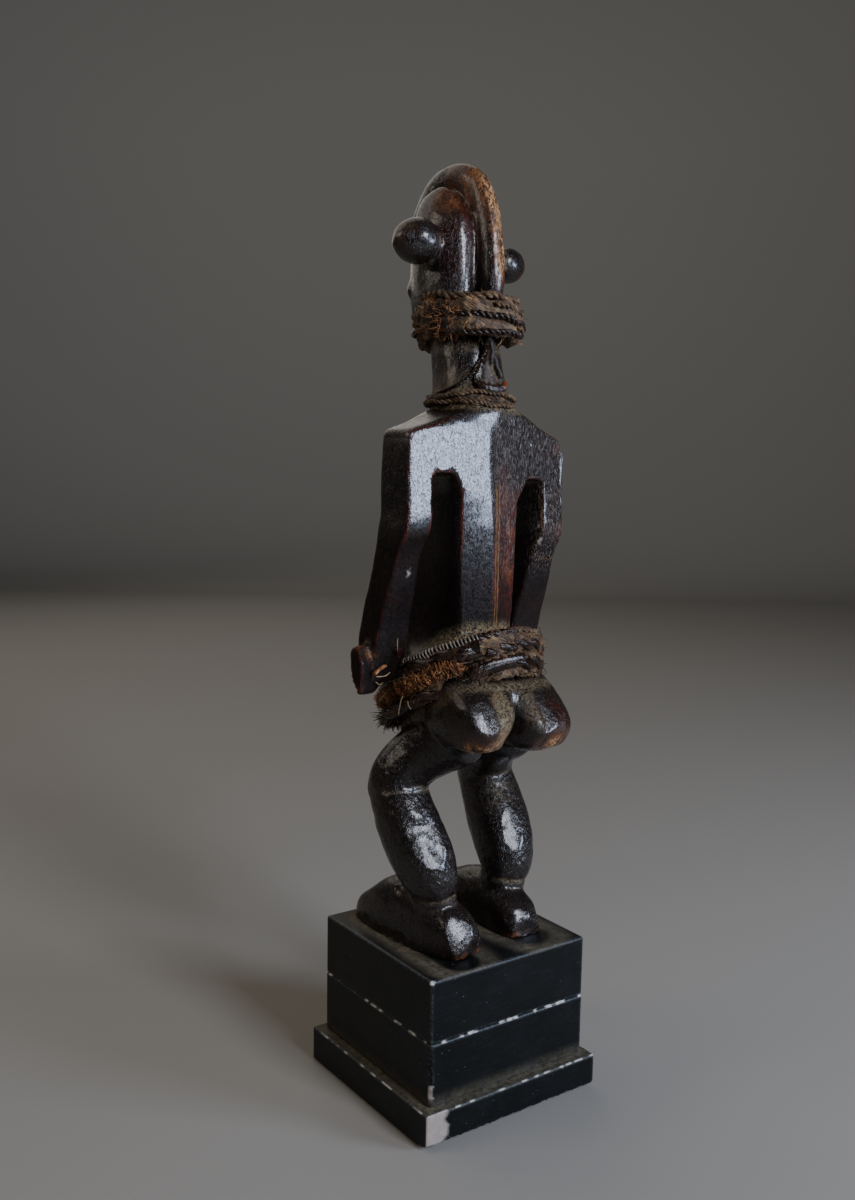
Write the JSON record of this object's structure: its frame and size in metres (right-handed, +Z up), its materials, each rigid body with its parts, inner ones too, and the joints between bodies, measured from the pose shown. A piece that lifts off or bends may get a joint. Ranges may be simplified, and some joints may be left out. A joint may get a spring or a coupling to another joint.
{
  "type": "carved figure holding a cup",
  "caption": "Standing wood figure with a crest and side knobs, bent knees and a small cup, with fibre cords at neck and hips, on a square painted plinth.",
  "frame": {"origin": "middle of the plinth's underside", "axes": "+Z up, the figure faces -Y, its own left side is +X"},
  "size_m": [0.1491, 0.136, 0.5408],
  "materials": {
    "carved_wood": "dark oiled hardwood, worn glossy",
    "plant_fibre": "dusty twisted plant fibre",
    "bound_hide": "dry cracked hide and resin",
    "painted_board": "semi-matte dark paint"
  },
  "bodies": {
    "root": {"plinth_base": "painted_board", "plinth_lower": "painted_board", "plinth_upper": "painted_board", "figure": "carved_wood", "belt_upper": "plant_fibre", "belt_lower": "plant_fibre", "neck_cord": "plant_fibre", "neck_lace": "plant_fibre", "nape_amulet": "bound_hide"}
  },
  "joints": []
}
